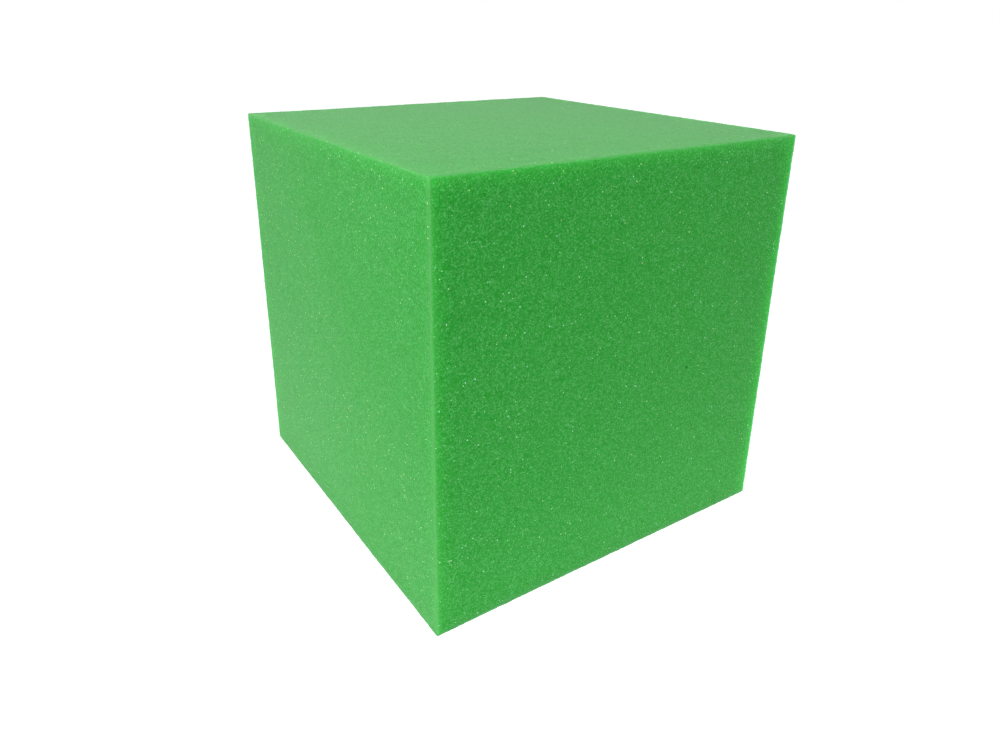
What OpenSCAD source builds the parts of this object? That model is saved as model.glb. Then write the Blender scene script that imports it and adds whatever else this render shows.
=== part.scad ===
// A plain block of soft open-cell foam, cut to a cube.
// Millimetres. +Z is up, and the origin is the centre of the bottom face.

/* [Cube] */
// Length of each side, from face to face
side = 200; // [100:5:250]

/* [Cut edges] */
// Radius of the softened edges where two cut faces meet
edge_r = 0.75; // [0.5:0.25:5]

/* [Hidden] */

// Steps of a whole turn of the edge rounding
$fn = 48;

foam_green = "#40A84B";

// Square outline with round corners, centred on the origin
module rounded_square(width, radius) {
    straight = width - 2 * radius;
    square([straight, width], center = true);
    square([width, straight], center = true);
    for (x = [-1, 1], y = [-1, 1])
        translate([x, y] * straight / 2)
            circle(r = radius);
}

// Square bar as long as it is wide, with its four long edges rounded
module rounded_bar(width, radius)
    linear_extrude(height = width, center = true)
        rounded_square(width, radius);

// The block: what three crossed bars share, so all twelve edges are rounded
module foam_cube()
    color(foam_green)
        translate([0, 0, side / 2])
            intersection() {
                rounded_bar(side, edge_r);
                rotate([90, 0, 0])
                    rounded_bar(side, edge_r);
                rotate([0, 90, 0])
                    rounded_bar(side, edge_r);
            }

foam_cube();
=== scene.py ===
"""A soft open-cell foam cube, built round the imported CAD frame. Metres, +Z up, in the frame's own axes."""

import math

import bpy
import numpy as np
from mathutils import Matrix, Vector, noise


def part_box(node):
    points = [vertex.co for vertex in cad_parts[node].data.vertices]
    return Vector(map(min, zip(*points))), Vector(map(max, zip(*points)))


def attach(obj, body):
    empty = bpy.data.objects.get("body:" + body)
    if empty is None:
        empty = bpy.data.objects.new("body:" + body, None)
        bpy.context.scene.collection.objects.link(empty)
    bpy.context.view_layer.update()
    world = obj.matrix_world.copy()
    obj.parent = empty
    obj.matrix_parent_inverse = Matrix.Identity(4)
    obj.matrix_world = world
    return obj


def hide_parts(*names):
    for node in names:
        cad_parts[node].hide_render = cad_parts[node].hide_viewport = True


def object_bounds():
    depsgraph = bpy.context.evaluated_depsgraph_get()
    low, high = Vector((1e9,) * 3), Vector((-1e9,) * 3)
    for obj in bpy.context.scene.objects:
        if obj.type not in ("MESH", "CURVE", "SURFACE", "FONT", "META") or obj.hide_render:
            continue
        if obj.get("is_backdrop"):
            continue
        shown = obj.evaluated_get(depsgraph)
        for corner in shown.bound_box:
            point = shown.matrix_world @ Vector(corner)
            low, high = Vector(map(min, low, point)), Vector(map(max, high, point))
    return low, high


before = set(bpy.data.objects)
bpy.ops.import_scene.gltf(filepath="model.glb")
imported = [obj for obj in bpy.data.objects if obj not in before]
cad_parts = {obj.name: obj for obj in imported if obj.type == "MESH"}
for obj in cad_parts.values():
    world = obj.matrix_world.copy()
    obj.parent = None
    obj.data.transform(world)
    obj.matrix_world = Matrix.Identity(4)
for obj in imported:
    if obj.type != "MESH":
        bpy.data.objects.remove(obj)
cad_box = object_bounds()

MM = 0.001

# The block, from the frame
LOW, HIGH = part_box("foam_cube")
SIDE = HIGH.x - LOW.x
CENTRE = (LOW + HIGH) / 2
HALF = SIDE / 2
EDGE_RADIUS = 0.75 * MM


# ---------------------------------------------------------------- camera

# Where the lens is, in sides of the block from the centre of its bottom face
LENS_PLACE = Vector((-1.129, -1.634, 1.259))
# Which way it looks, and how far it leans, in degrees
LOOK_ALONG = Vector((0.525, 0.774, -0.355))
LEAN = 0.77
LENS_MM = 27.6
SENSOR_MM = 36.0
# How far the picture is shifted across and up, in widths of the sensor
LENS_SHIFT = (0.0047, -0.06995)


def make_camera():
    """The camera at the viewing angle of the photograph."""
    data = bpy.data.cameras.new("camera")
    data.lens = LENS_MM
    data.sensor_width = SENSOR_MM
    data.shift_x, data.shift_y = LENS_SHIFT
    data.clip_start = 0.01
    data.clip_end = 50
    camera = bpy.data.objects.new("camera", data)
    bpy.context.scene.collection.objects.link(camera)
    foot = Vector((CENTRE.x, CENTRE.y, LOW.z))
    turn = LOOK_ALONG.to_track_quat("-Z", "Y").to_matrix().to_4x4()
    lean = Matrix.Rotation(math.radians(LEAN), 4, "Z")
    camera.matrix_world = Matrix.Translation(foot + LENS_PLACE * SIDE) @ turn @ lean
    bpy.context.scene.camera = camera


# ---------------------------------------------------------------- the block's surface

# Finest cells along one side; the squares of a flat middle and of a cut edge, in finest cells
LATTICE = 800
FLAT_CELLS = 8
EDGE_CELLS = 2
CELL = SIDE / LATTICE

# Slow bow that the blade leaves in each face, and wide and narrow lumps in the foam
BOW_DEPTH, BOW_LENGTH = 0.22 * MM, 70 * MM
LUMP_DEPTH, LUMP_LENGTH = 0.05 * MM, 12 * MM
KNOB_DEPTH, KNOB_LENGTH = 0.07 * MM, 4.5 * MM
# Torn cells along the cut edges, with tears of half the length as a share of the long ones
TEAR_DEPTH, TEAR_LENGTH = 0.14 * MM, 1.3 * MM
SHORT_TEARS = 0.6
TEAR_REACH = 1.3 * MM
# How far in from an edge the painted highlight reaches: the foam is made paler there, standing in for the
# light that a cut edge catches from both faces
EDGE_HIGHLIGHT_REACH = 1.2 * MM
# How far one seed's noise lies from the next, in lengths of the noise
SEED_STEP = Vector((3.7, 1.9, 5.3))

FACES = ("left", "right", "front", "back", "bottom", "top")
# Pinholes that the cut opened: face, place along the face's two axes as shares of a side, radius
PINHOLES = (
    ("front", 0.465, 0.702, 0.80 * MM),
    ("back", 0.620, 0.310, 0.60 * MM),
    ("right", 0.350, 0.660, 0.50 * MM),
)
# How deep a pinhole is, in its radii, and how far down its painted shade has turned quite dark
PINHOLE_DEPTH = 2
PINHOLE_SHADE_FULL_AT = 0.6 * MM


def pinholes_of(face):
    """The pinholes of one face as (u, v, radius) in finest cells."""
    return [
        (u * LATTICE, v * LATTICE, radius / CELL)
        for name, u, v, radius in PINHOLES
        if name == FACES[face]
    ]


def is_coarse(u, v, size, pinholes):
    """Whether a square is too large for the border or the pinhole that it lies near."""
    border_gap = min(u, v, LATTICE - u - size, LATTICE - v - size)
    if size > max(EDGE_CELLS, border_gap):
        return True
    for hole_u, hole_v, radius in pinholes:
        across = max(u - hole_u, hole_u - u - size, 0)
        along = max(v - hole_v, hole_v - v - size, 0)
        rim_gap = max(math.hypot(across, along) - radius, 0)
        if size > max(1, rim_gap / 2):
            return True
    return False


def split_square(u, v, size, pinholes):
    """The squares that one square of a face becomes, fine by the border and round the pinholes."""
    if not is_coarse(u, v, size, pinholes):
        yield u, v, size
        return
    half = size // 2
    for corner_u in (u, u + half):
        for corner_v in (v, v + half):
            yield from split_square(corner_u, corner_v, half, pinholes)


def on_cube(face, u, v):
    """The lattice point of the cube's surface at (u, v) on a face; the faces are in the order of FACES."""
    axis, high = divmod(face, 2)
    point = [0, 0, 0]
    point[axis] = LATTICE if high else 0
    point[(axis + 1) % 3] = u
    point[(axis + 2) % 3] = v
    return tuple(point)


def square_polygons(face, u, v, size, corners):
    """One square as a quad, or as a fan of triangles where finer squares meet the middles of its sides."""
    half = size // 2
    walk = [(u, v), (u + half, v), (u + size, v), (u + size, v + half)]
    walk += [(u + size, v + size), (u + half, v + size), (u, v + size), (u, v + half)]
    if size == 1:
        walk = walk[::2]
    if face % 2 == 0:
        walk.reverse()
    ring = []
    middles = []
    for point in walk:
        index = corners.get(on_cube(face, *point))
        if index is None:
            continue
        if point[0] not in (u, u + size) or point[1] not in (v, v + size):
            middles.append(len(ring))
        ring.append(index)
    if not middles:
        return [ring]
    ring = ring[middles[0]:] + ring[:middles[0]]
    return [(ring[0], ring[i], ring[i + 1]) for i in range(1, len(ring) - 1)]


def cube_lattice():
    """Lattice points and the polygons on them, closed all the way round the cube."""
    starts = range(0, LATTICE, FLAT_CELLS)
    squares = []
    for face in range(6):
        pinholes = pinholes_of(face)
        for u in starts:
            for v in starts:
                squares += [(face, *square) for square in split_square(u, v, FLAT_CELLS, pinholes)]
    corners = {}
    for face, u, v, size in squares:
        for point in ((u, v), (u + size, v), (u + size, v + size), (u, v + size)):
            corners.setdefault(on_cube(face, *point), len(corners))
    polygons = []
    for square in squares:
        polygons += square_polygons(*square, corners)
    return np.array(list(corners), float), polygons


def noise_at(points, length, seed):
    """Smooth noise, from about -1 to 1, that changes over the given length."""
    shift = seed * SEED_STEP
    return np.array([noise.noise(Vector(p) / length + shift) for p in points])


def rounded(points):
    """Points of the cube's surface moved on to the rounded cube, with their outward normals."""
    core = HALF - EDGE_RADIUS
    inner = np.clip(points, -core, core)
    outward = points - inner
    outward /= np.linalg.norm(outward, axis=1, keepdims=True)
    return inner + outward * EDGE_RADIUS, outward


def pinhole_bowls(lattice):
    """How far each lattice point is down a pinhole, in metres; 0 outside the pinholes."""
    depth = np.zeros(len(lattice))
    for face in range(6):
        for u, v, radius in pinholes_of(face):
            away = np.linalg.norm(lattice - np.array(on_cube(face, u, v)), axis=1) / radius
            bowl = np.clip(1 - away**2, 0, 1) ** 0.5
            depth = np.maximum(depth, bowl * radius * CELL * PINHOLE_DEPTH)
    return depth


def add_measure(mesh, name, values):
    """A number for every point of the mesh, for the material to read."""
    mesh.attributes.new(name, "FLOAT", "POINT").data.foreach_set("value", values.astype(np.float32))


def make_block():
    """The foam as one closed mesh, which also tells the material where its edges and pinholes are."""
    lattice, polygons = cube_lattice()
    flat = lattice * CELL - HALF
    points, outward = rounded(flat)
    from_edge = np.sort(HALF - np.abs(flat), axis=1)[:, 1]
    rise = BOW_DEPTH * noise_at(points, BOW_LENGTH, seed=4)
    rise += LUMP_DEPTH * noise_at(points, LUMP_LENGTH, seed=5)
    rise += KNOB_DEPTH * noise_at(points, KNOB_LENGTH, seed=6)
    tear = noise_at(points, TEAR_LENGTH, seed=1)
    tear += SHORT_TEARS * noise_at(points, TEAR_LENGTH / 2, seed=2)
    rise += TEAR_DEPTH * tear * np.exp(-((from_edge / TEAR_REACH) ** 2))
    bowl = pinhole_bowls(lattice)
    rise -= bowl
    points = points + outward * rise[:, None] + np.array(CENTRE)
    points[:, 2] = np.maximum(points[:, 2], LOW.z)
    mesh = bpy.data.meshes.new("foam_block")
    mesh.from_pydata(points.tolist(), [], polygons)
    mesh.polygons.foreach_set("use_smooth", [True] * len(mesh.polygons))
    # Painted highlight: a share that makes the foam paler near the cut edges
    add_measure(mesh, "painted_edge_highlight", np.exp(-from_edge / EDGE_HIGHLIGHT_REACH))
    # Painted shade: a share that darkens the foam down each pinhole
    add_measure(mesh, "pinhole", np.minimum(bowl / PINHOLE_SHADE_FULL_AT, 1))
    mesh.update()
    block = bpy.data.objects.new("foam_block", mesh)
    bpy.context.scene.collection.objects.link(block)
    return block


# ---------------------------------------------------------------- the foam's material

class Nodes:
    """Short names for the shader nodes that the materials and the world here use."""

    def __init__(self, tree):
        self.tree = tree

    def add(self, kind, **settings):
        node = self.tree.nodes.new(kind)
        for name, value in settings.items():
            setattr(node, name, value)
        return node

    def put(self, value, socket):
        """Links a socket to another, or sets it to a number or colour."""
        if isinstance(value, bpy.types.NodeSocket):
            self.tree.links.new(value, socket)
        else:
            socket.default_value = value

    def maths(self, operation, a, b=0.0, clamp=False):
        node = self.add("ShaderNodeMath", operation=operation, use_clamp=clamp)
        self.put(a, node.inputs[0])
        self.put(b, node.inputs[1])
        return node.outputs[0]

    def ramp(self, value, low, high, to_low=0.0, to_high=1.0, smooth=False):
        node = self.add("ShaderNodeMapRange", interpolation_type="SMOOTHSTEP" if smooth else "LINEAR")
        for socket, number in zip(node.inputs, (value, low, high, to_low, to_high)):
            self.put(number, socket)
        return node.outputs[0]

    def mix(self, share, a, b):
        node = self.add("ShaderNodeMix", data_type="RGBA")
        self.put(share, node.inputs[0])
        self.put(a, node.inputs[6])
        self.put(b, node.inputs[7])
        return node.outputs[2]

    def noise(self, place, length):
        node = self.add("ShaderNodeTexNoise")
        self.put(place, node.inputs["Vector"])
        node.inputs["Scale"].default_value = 1 / length
        node.inputs["Detail"].default_value = 1.0
        return node.outputs[0]

    def cells(self, place, length, feature="F1"):
        node = self.add("ShaderNodeTexVoronoi", feature=feature)
        self.put(place, node.inputs["Vector"])
        node.inputs["Scale"].default_value = 1 / length
        return node

    def split(self, colour):
        node = self.add("ShaderNodeSeparateColor")
        self.put(colour, node.inputs[0])
        return node.outputs

    def measure(self, name):
        """A number that the mesh carries for each of its points."""
        return self.add("ShaderNodeAttribute", attribute_name=name).outputs["Fac"]

    def seen(self):
        """1 for what the camera sees itself, 0 for what only lights other things."""
        return self.add("ShaderNodeLightPath").outputs["Is Camera Ray"]


# An open pore with painted shade, a cell cut deep, a cell cut at its pale struts (pale partly at random,
# partly as painted highlight), the foam at a cut edge with painted highlight, and in a pinhole with painted
# shade
FOAM_PORE_SHADE = (0.002, 0.120, 0.004, 1)
FOAM_DEEP = (0.005, 0.248, 0.011, 1)
FOAM_PALE_TONE_AND_HIGHLIGHT = (0.069, 0.363, 0.085, 1)
FOAM_EDGE_HIGHLIGHT = (0.066, 0.238, 0.067, 1)
FOAM_HOLE_SHADE = (0.003, 0.110, 0.006, 1)
# Two tints of the painted glints, and the span of chances over which one turns into the other
WARM_PAINTED_GLINT = (0.95, 0.90, 0.50, 1)
COOL_PAINTED_GLINT = (0.55, 0.86, 0.78, 1)
TINT_TURNS = (0.4, 0.9)

# Width of a cell, of a clump of like cells, and of a larger cell that may carry a painted glint standing in
# for shiny cell windows
FOAM_CELL = 0.52 * MM
CLUMP_LENGTH = 1.8 * MM
PAINTED_GLINT_CELL = 0.90 * MM
# How much a clump's tone may differ from the mean
CLUMP_TONE = 0.12
# Where a strut fades out, in cells from the wall, and how much paler its painted highlight makes it
STRUT_FADES = (0.02, 0.16)
STRUT_HIGHLIGHT = 0.2
# How few cells are pale, as a power of an even chance
PALE_POWER = 3.0
# How rough the foam is on a strut and between struts
STRUT_ROUGHNESS = 0.6
HOLLOW_ROUGHNESS = 0.85
# Share of the cells that are open pores, and how dark the painted shade in the darkest of them is
PORE_SHARE = 0.12
PORE_SHADE_STRENGTH = 0.6
# Share of the larger cells that carry a painted glint, and how bright a painted glint is on average
PAINTED_GLINT_SHARE = 0.05
PAINTED_GLINT_SHINE = 0.36
# Where a painted glint fades out, in larger cells from the middle
PAINTED_GLINT_FADES = (0.22, 0.32)
# Depth and strength of the relief, how it falls away from a strut, and how much it differs
# from cell to cell
RELIEF_DEPTH = 0.12 * MM
RELIEF_STRENGTH = 0.5
STRUT_RELIEF = -0.5
CELL_RELIEF = 0.4
# How deep light goes into the foam, and how that differs for red, green and blue
LIGHT_DEPTH = 28 * MM
DEPTH_BY_COLOUR = (0.25, 1.0, 0.35)
# Gloss of the foam, and the sheen of its cut fibres seen at a flat angle
SPECULAR_LEVEL = 0.16
SHEEN_WEIGHT = 0.25
SHEEN_ROUGHNESS = 0.355


def foam_material():
    """Open-cell polyurethane foam: pale struts with painted highlight round pores with painted shade, and a
    few painted glints standing in for shiny cell windows.
    """
    material = bpy.data.materials.new("open_cell_foam")
    material.use_nodes = True
    tree = material.node_tree
    n = Nodes(tree)
    shader = tree.nodes["Principled BSDF"]
    place = n.add("ShaderNodeTexCoord").outputs["Object"]

    cell = n.cells(place, FOAM_CELL)
    wall = n.cells(place, FOAM_CELL, "DISTANCE_TO_EDGE").outputs["Distance"]
    chance = n.split(cell.outputs["Color"])
    strut = n.ramp(wall, *STRUT_FADES, 1.0, 0.0, smooth=True)
    clump = n.ramp(n.noise(place, CLUMP_LENGTH), 0.0, 1.0, -CLUMP_TONE, CLUMP_TONE)
    pale_cell = n.maths("POWER", chance[0], PALE_POWER)
    # Pale tone at random, plus a painted highlight that makes the struts paler
    pale_tone_and_highlight = n.maths("ADD", pale_cell, n.maths("MULTIPLY", strut, STRUT_HIGHLIGHT))
    tone = n.mix(n.maths("ADD", pale_tone_and_highlight, clump, clamp=True), FOAM_DEEP, FOAM_PALE_TONE_AND_HIGHLIGHT)
    # Painted shade: the open pores are darkened, standing in for shade down into them
    tone = n.mix(n.ramp(chance[2], 0.0, PORE_SHARE, PORE_SHADE_STRENGTH, 0.0), tone, FOAM_PORE_SHADE)
    # Painted highlight along the cut edges
    tone = n.mix(n.measure("painted_edge_highlight"), tone, FOAM_EDGE_HIGHLIGHT)

    # Painted glints: pale spots in the colour that stand in for light shining off cell windows
    glint_cells = n.cells(place, PAINTED_GLINT_CELL)
    luck = n.split(glint_cells.outputs["Color"])
    # A logarithm makes many faint painted glints and few bright ones
    rarity = n.maths("LOGARITHM", n.maths("DIVIDE", luck[0], PAINTED_GLINT_SHARE), math.e)
    painted_shine = n.maths("MULTIPLY", rarity, -PAINTED_GLINT_SHINE, clamp=True)
    spot = n.ramp(glint_cells.outputs["Distance"], *PAINTED_GLINT_FADES, 1.0, 0.0, smooth=True)
    tint = n.mix(n.ramp(luck[1], *TINT_TURNS), WARM_PAINTED_GLINT, COOL_PAINTED_GLINT)
    colour = n.mix(n.maths("MULTIPLY", painted_shine, spot), tone, tint)
    # Painted shade down the pinholes
    colour = n.mix(n.measure("pinhole"), colour, FOAM_HOLE_SHADE)
    n.put(colour, shader.inputs["Base Color"])

    n.put(n.ramp(strut, 0.0, 1.0, HOLLOW_ROUGHNESS, STRUT_ROUGHNESS), shader.inputs["Roughness"])
    strut_relief = n.maths("MULTIPLY", wall, STRUT_RELIEF)
    relief = n.maths("ADD", strut_relief, n.maths("MULTIPLY", chance[1], CELL_RELIEF))
    bump = n.add("ShaderNodeBump")
    bump.inputs["Strength"].default_value = RELIEF_STRENGTH
    bump.inputs["Distance"].default_value = RELIEF_DEPTH
    n.put(relief, bump.inputs["Height"])
    n.put(bump.outputs[0], shader.inputs["Normal"])

    shader.subsurface_method = "RANDOM_WALK"
    shader.inputs["Subsurface Weight"].default_value = 1.0
    shader.inputs["Subsurface Radius"].default_value = DEPTH_BY_COLOUR
    shader.inputs["Subsurface Scale"].default_value = LIGHT_DEPTH
    shader.inputs["Specular IOR Level"].default_value = SPECULAR_LEVEL
    shader.inputs["Sheen Weight"].default_value = SHEEN_WEIGHT
    shader.inputs["Sheen Roughness"].default_value = SHEEN_ROUGHNESS
    return material


# ---------------------------------------------------------------- floor and light

FLOOR_RADIUS = 12
FLOOR_CORNERS = 128
FLOOR_ALBEDO = 0.9
# The floor is a light table: a ring of it round the block, which starts and ends over these
# spans in sides of the block from its centre, glows on to the block's sides
RING_GLOW = 0.51
RING_STARTS = (0.474, 0.514)
RING_ENDS = (0.80, 1.50)
# Brightness that the camera sees on the floor besides the light that falls on it
FLOOR_LIFT = 0.52


def make_floor():
    """A plain white floor that glows in a ring round the block."""
    bpy.ops.mesh.primitive_circle_add(
        vertices=FLOOR_CORNERS, radius=FLOOR_RADIUS, fill_type="NGON", location=(0, 0, LOW.z)
    )
    floor = bpy.context.object
    floor.name = "floor"
    material = bpy.data.materials.new("white_floor")
    material.use_nodes = True
    tree = material.node_tree
    n = Nodes(tree)
    shader = tree.nodes["Principled BSDF"]
    shader.inputs["Base Color"].default_value = (FLOOR_ALBEDO, FLOOR_ALBEDO, FLOOR_ALBEDO, 1)
    shader.inputs["Roughness"].default_value = 1.0
    shader.inputs["Specular IOR Level"].default_value = 0.0
    place = n.add("ShaderNodeSeparateXYZ")
    n.put(n.add("ShaderNodeTexCoord").outputs["Object"], place.inputs[0])
    across, along = (n.maths("ABSOLUTE", place.outputs[axis]) for axis in ("X", "Y"))
    away = n.maths("DIVIDE", n.maths("MAXIMUM", across, along), SIDE)
    started = n.ramp(away, *RING_STARTS, smooth=True)
    not_ended = n.ramp(away, *RING_ENDS, 1.0, 0.0, smooth=True)
    ring = n.maths("MULTIPLY", n.maths("MULTIPLY", started, not_ended), RING_GLOW)
    shader.inputs["Emission Color"].default_value = (1, 1, 1, 1)
    n.put(n.ramp(n.seen(), 0.0, 1.0, ring, FLOOR_LIFT), shader.inputs["Emission Strength"])
    floor.data.materials.append(material)
    floor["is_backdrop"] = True


def make_light(name, turn, rise, distance, size, power):
    """A soft box that faces the middle of the block, at an angle round it and an angle above the floor."""
    turn, rise = math.radians(turn), math.radians(rise)
    place = Vector((math.cos(turn) * math.cos(rise), math.sin(turn) * math.cos(rise), math.sin(rise)))
    data = bpy.data.lights.new(name, "AREA")
    data.shape = "SQUARE"
    data.size = size
    data.energy = power
    light = bpy.data.objects.new(name, data)
    light.location = CENTRE + place * distance
    light.rotation_mode = "QUATERNION"
    light.rotation_quaternion = (-place).to_track_quat("-Z", "Y")
    bpy.context.scene.collection.objects.link(light)


# How bright the tent is to the block and the floor all round, how much brighter it is in front,
# and how fast that falls off to the back
TENT_LIGHT = 0.28
FRONT_LIGHT = 0.94
FRONT_POWER = 2.0


def make_world():
    """A tent that shines from the front, and that the camera sees as plain white."""
    world = bpy.data.worlds.new("white_tent")
    world.use_nodes = True
    tree = world.node_tree
    n = Nodes(tree)
    background = tree.nodes["Background"]
    background.inputs["Color"].default_value = (1, 1, 1, 1)
    way = n.add("ShaderNodeSeparateXYZ")
    n.put(n.add("ShaderNodeTexCoord").outputs["Generated"], way.inputs[0])
    frontness = n.maths("POWER", n.ramp(way.outputs["Y"], -1.0, 1.0, 1.0, 0.0), FRONT_POWER)
    light = n.maths("ADD", n.maths("MULTIPLY", frontness, FRONT_LIGHT), TENT_LIGHT)
    n.put(n.ramp(n.seen(), 0.0, 1.0, light, 1.0), background.inputs["Strength"])
    bpy.context.scene.world = world


make_camera()
block = make_block()
block.data.materials.append(foam_material())
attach(block, "root")
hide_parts("foam_cube")

make_floor()
make_world()
make_light("side_light", turn=205, rise=30, distance=0.8, size=0.5, power=3.9)
make_light("high_light", turn=225, rise=80, distance=0.7, size=0.4, power=1.45)
bpy.context.scene.view_settings.view_transform = "Standard"

boxes = {"cad": cad_box, "visual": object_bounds()}
{name: [list(low), list(high)] for name, (low, high) in boxes.items()}
